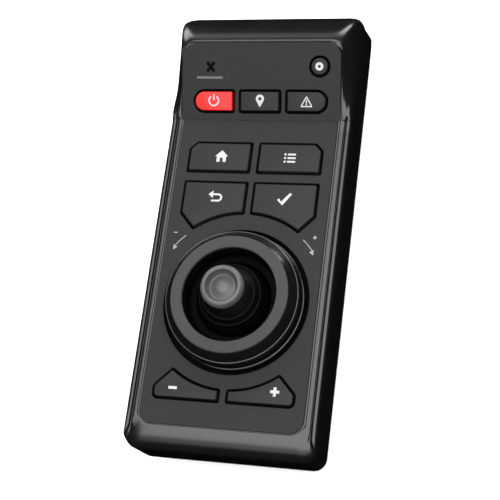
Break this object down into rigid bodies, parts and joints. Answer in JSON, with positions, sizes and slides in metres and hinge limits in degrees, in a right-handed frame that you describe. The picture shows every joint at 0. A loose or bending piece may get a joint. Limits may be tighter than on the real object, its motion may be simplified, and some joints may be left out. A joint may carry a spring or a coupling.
{
  "type": "remote control pad",
  "caption": "Hand-sized remote control pad with a raised tilted header, push keys, a rotary ring round a thumb joystick and a rear battery door.",
  "frame": {"origin": "centre of the footprint on the plane of the back", "axes": "+X to the user's right, +Y along the length towards the raised header, +Z out of the key face"},
  "size_m": [0.0752, 0.1832, 0.0556],
  "materials": {
    "gloss_shell": "polished black",
    "rear_shell": "fine spark texture",
    "face_plate": "matte charcoal",
    "key_top": "matte charcoal, lighter bevel",
    "red_key": "satin red",
    "dial_gloss": "satin black",
    "soft_ring": "soft touch grey",
    "soft_cap": "soft touch grey",
    "boot": "black rubber",
    "inner_plastic": "moulded black",
    "gimbal_metal": "machined",
    "spring_steel": "drawn wire",
    "board": "solder mask",
    "chip": "moulded package",
    "shield": "pressed tin plate",
    "antenna_ceramic": "ceramic",
    "silicone": "silicone",
    "screw_steel": "stainless",
    "insert_brass": "turned brass",
    "cell_wrap": "printed sleeve",
    "flex": "polyimide",
    "lamp_clear": "clear",
    "bush": "acetal",
    "socket_metal": "nickel plated"
  },
  "bodies": {
    "housing": {"antenna": "antenna_ceramic", "battery_contacts": "shield", "battery_springs": "spring_steel", "centring_spring": "spring_steel", "dial_bush": "bush", "encoder_sensor": "chip", "front_housing": "gloss_shell", "gimbal_frame": "inner_plastic", "header_board": "board", "header_board_screws": "screw_steel", "header_dome_switches": "shield", "header_faceplate": "face_plate", "header_flex_cable": "flex", "header_key_mat": "silicone", "housing_screws": "screw_steel", "housing_seal": "silicone", "joystick_housing": "inner_plastic", "joystick_screws": "screw_steel", "lower_battery_cell": "cell_wrap", "main_board": "board", "main_board_screws": "screw_steel", "main_dome_switches": "shield", "main_faceplate": "face_plate", "main_key_mat": "silicone", "mount_inserts": "insert_brass", "processor_chip": "chip", "push_switch": "chip", "rear_cover": "rear_shell", "sensor_board": "board", "socket_contacts": "insert_brass", "socket_insert": "inner_plastic", "socket_nut": "socket_metal", "socket_seal": "silicone", "socket_shell": "socket_metal", "status_lamp": "lamp_clear", "status_light_pipe": "lamp_clear", "thrust_washer": "bush", "upper_battery_cell": "cell_wrap", "wireless_module": "shield"},
    "dial": {"dial_ring": "dial_gloss", "dial_top_ring": "soft_ring", "encoder_ring": "gimbal_metal"},
    "gimbal": {"gimbal_ring": "gimbal_metal"},
    "carrier": {"stick_carrier": "inner_plastic", "joystick_dome": "boot"},
    "stick": {"joystick_shaft": "gimbal_metal", "joystick_cap": "soft_cap", "tilt_magnet": "gimbal_metal"},
    "battery_door": {"battery_door": "rear_shell"},
    "alert_key": {"alert_key": "key_top"},
    "back_key": {"back_key": "key_top"},
    "home_key": {"home_key": "key_top"},
    "mark_key": {"mark_key": "key_top"},
    "menu_key": {"menu_key": "key_top"},
    "minus_key": {"minus_key": "key_top"},
    "plus_key": {"plus_key": "key_top"},
    "power_key": {"power_key": "key_top"},
    "select_key": {"select_key": "key_top"},
    "standby_key": {"standby_key": "red_key"}
  },
  "joints": [
    {"name": "alert_key_press", "type": "slide", "parent": "housing", "child": "alert_key", "axis": [0, -0.4195, 0.9078], "range_m": [-0.0008, 0], "stiffness_N_per_m": 2500, "springref_m": 0.0003},
    {"name": "back_key_press", "type": "slide", "parent": "housing", "child": "back_key", "axis": [0, 0, 1], "range_m": [-0.0008, 0], "stiffness_N_per_m": 2500, "springref_m": 0.0003},
    {"name": "home_key_press", "type": "slide", "parent": "housing", "child": "home_key", "axis": [0, 0, 1], "range_m": [-0.0008, 0], "stiffness_N_per_m": 2500, "springref_m": 0.0003},
    {"name": "mark_key_press", "type": "slide", "parent": "housing", "child": "mark_key", "axis": [0, -0.4195, 0.9078], "range_m": [-0.0008, 0], "stiffness_N_per_m": 2500, "springref_m": 0.0003},
    {"name": "menu_key_press", "type": "slide", "parent": "housing", "child": "menu_key", "axis": [0, 0, 1], "range_m": [-0.0008, 0], "stiffness_N_per_m": 2500, "springref_m": 0.0003},
    {"name": "minus_key_press", "type": "slide", "parent": "housing", "child": "minus_key", "axis": [0, 0, 1], "range_m": [-0.0008, 0], "stiffness_N_per_m": 2500, "springref_m": 0.0003},
    {"name": "plus_key_press", "type": "slide", "parent": "housing", "child": "plus_key", "axis": [0, 0, 1], "range_m": [-0.0008, 0], "stiffness_N_per_m": 2500, "springref_m": 0.0003},
    {"name": "power_key_press", "type": "slide", "parent": "housing", "child": "power_key", "axis": [0, -0.4195, 0.9078], "range_m": [-0.0008, 0], "stiffness_N_per_m": 2500, "springref_m": 0.0003},
    {"name": "select_key_press", "type": "slide", "parent": "housing", "child": "select_key", "axis": [0, 0, 1], "range_m": [-0.0008, 0], "stiffness_N_per_m": 2500, "springref_m": 0.0003},
    {"name": "standby_key_press", "type": "slide", "parent": "housing", "child": "standby_key", "axis": [0, -0.4195, 0.9078], "range_m": [-0.0008, 0], "stiffness_N_per_m": 2500, "springref_m": 0.0003},
    {"name": "dial_turn", "type": "hinge", "parent": "housing", "child": "dial", "pos_m": [0, -0.0328, 0.0342], "axis": [0, 0, 1], "continuous": true},
    {"name": "stick_tilt_x", "type": "hinge", "parent": "housing", "child": "gimbal", "pos_m": [0, -0.0328, 0.0342], "axis": [1, 0, 0], "range_deg": [-12, 12], "stiffness_Nm_per_rad": 0.12, "deforming": ["centring_spring"]},
    {"name": "stick_tilt_y", "type": "hinge", "parent": "gimbal", "child": "carrier", "pos_m": [0, -0.0328, 0.0342], "axis": [0, 1, 0], "range_deg": [-12, 12], "stiffness_Nm_per_rad": 0.12},
    {"name": "stick_push", "type": "slide", "parent": "carrier", "child": "stick", "axis": [0, 0, 1], "range_m": [-0.0006, 0], "stiffness_N_per_m": 3000, "springref_m": 0.0004},
    {"name": "battery_door_slide", "type": "slide", "parent": "housing", "child": "battery_door", "axis": [0, 1, 0], "range_m": [0, 0.042]}
  ]
}
